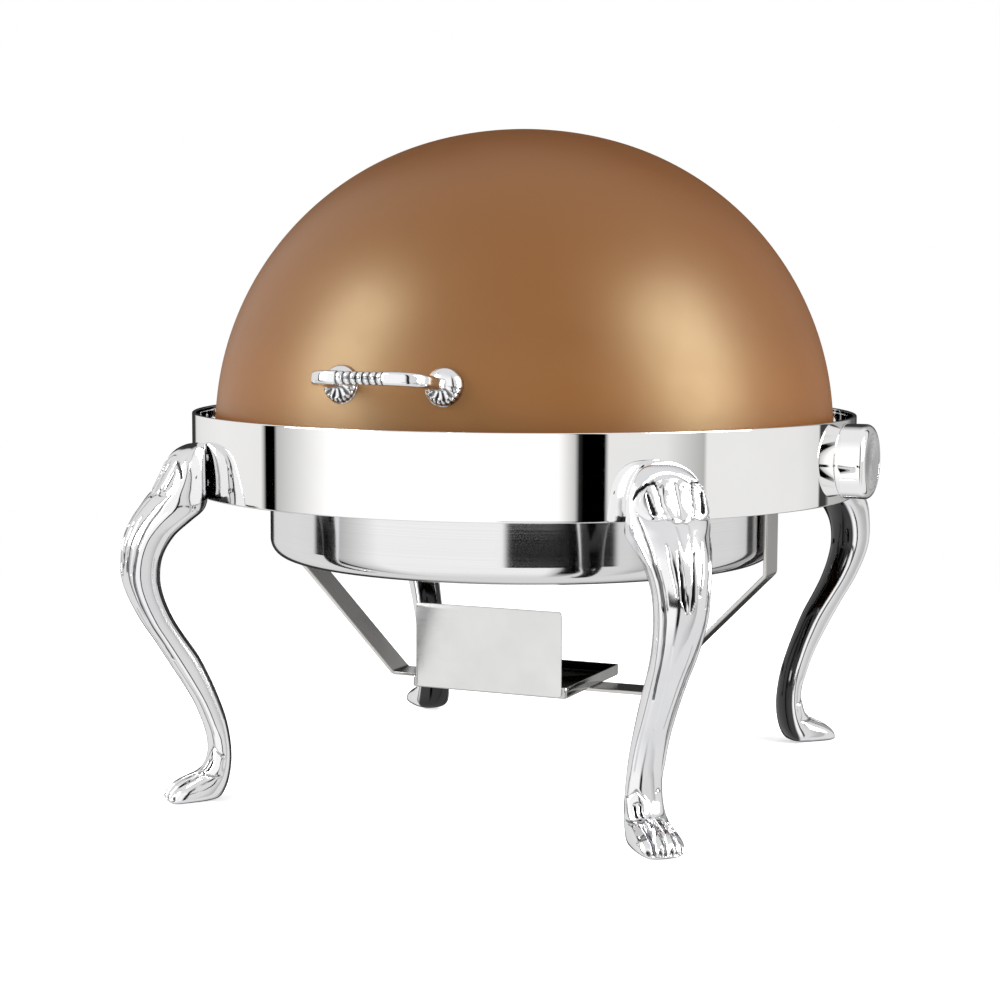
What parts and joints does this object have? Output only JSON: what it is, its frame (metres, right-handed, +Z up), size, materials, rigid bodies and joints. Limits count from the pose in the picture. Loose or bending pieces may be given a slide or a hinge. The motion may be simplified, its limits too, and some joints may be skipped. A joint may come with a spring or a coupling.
{
  "type": "roll top chafer",
  "caption": "Round roll-top chafing dish: a bronze dome lid rolls back on side pivots in a polished ring on cast cabriole legs, over water and food pans and a fuel tray.",
  "frame": {"origin": "on the axis of the ring band, in the plane the four feet stand on", "axes": "+Z up along the ring's axis, +X along the lid's pivot axis, -Y towards the handle and the person who opens the lid"},
  "size_m": [0.486, 0.4734, 0.4397],
  "materials": {
    "mirror_steel": "mirror-polished stainless sheet",
    "cast_chrome": "bright chrome plate over a zinc casting",
    "lid_bronze": "satin bronze coating over spun stainless",
    "pan_steel": "satin spun stainless",
    "strap_steel": "satin stainless flat bar",
    "plate_steel": "brushed stainless sheet",
    "fastener_steel": "bright stainless hardware",
    "washer_nylon": "natural nylon",
    "bush_brass": "turned brass"
  },
  "bodies": {
    "base": {"frame_ring": "mirror_steel", "leg_front_left": "cast_chrome", "leg_front_right": "cast_chrome", "leg_back_left": "cast_chrome", "leg_back_right": "cast_chrome", "leg_screws": "fastener_steel", "leg_washers": "fastener_steel", "pivot_cap_left": "mirror_steel", "pivot_cap_right": "mirror_steel", "pivot_stud_left": "fastener_steel", "pivot_stud_right": "fastener_steel", "pivot_spacer_left": "fastener_steel", "pivot_spacer_right": "fastener_steel", "pivot_bracket_left": "strap_steel", "pivot_bracket_right": "strap_steel", "pivot_nuts": "fastener_steel", "pivot_washers": "fastener_steel", "inner_friction_washers": "washer_nylon", "outer_friction_washers": "washer_nylon", "hanger_strap": "strap_steel", "pan_support_ring": "strap_steel", "frame_rivets": "fastener_steel", "fuel_tray": "plate_steel", "fuel_front_plate": "plate_steel", "tray_rivets": "fastener_steel"},
    "lid": {"dome_lid": "lid_bronze", "hinge_plate_left": "strap_steel", "hinge_plate_right": "strap_steel", "pivot_bush_left": "bush_brass", "pivot_bush_right": "bush_brass", "handle_rosette_left": "cast_chrome", "handle_rosette_right": "cast_chrome", "hinge_rivets": "fastener_steel", "stop_pins": "fastener_steel", "handle_bar": "cast_chrome", "handle_screws": "fastener_steel", "handle_washers": "fastener_steel"},
    "water_pan": {"water_pan": "pan_steel"},
    "food_pan": {"food_pan": "pan_steel"}
  },
  "joints": [
    {"name": "lid_roll", "type": "hinge", "parent": "base", "child": "lid", "pos_m": [0, 0, 0.2235], "axis": [-1, 0, 0], "range_deg": [0, 150]},
    {"name": "water_pan_lift", "type": "slide", "parent": "base", "child": "water_pan", "axis": [0, 0, 1], "range_m": [0, 0.012]},
    {"name": "food_pan_lift", "type": "slide", "parent": "water_pan", "child": "food_pan", "axis": [0, 0, 1], "range_m": [0, 0.055]}
  ]
}
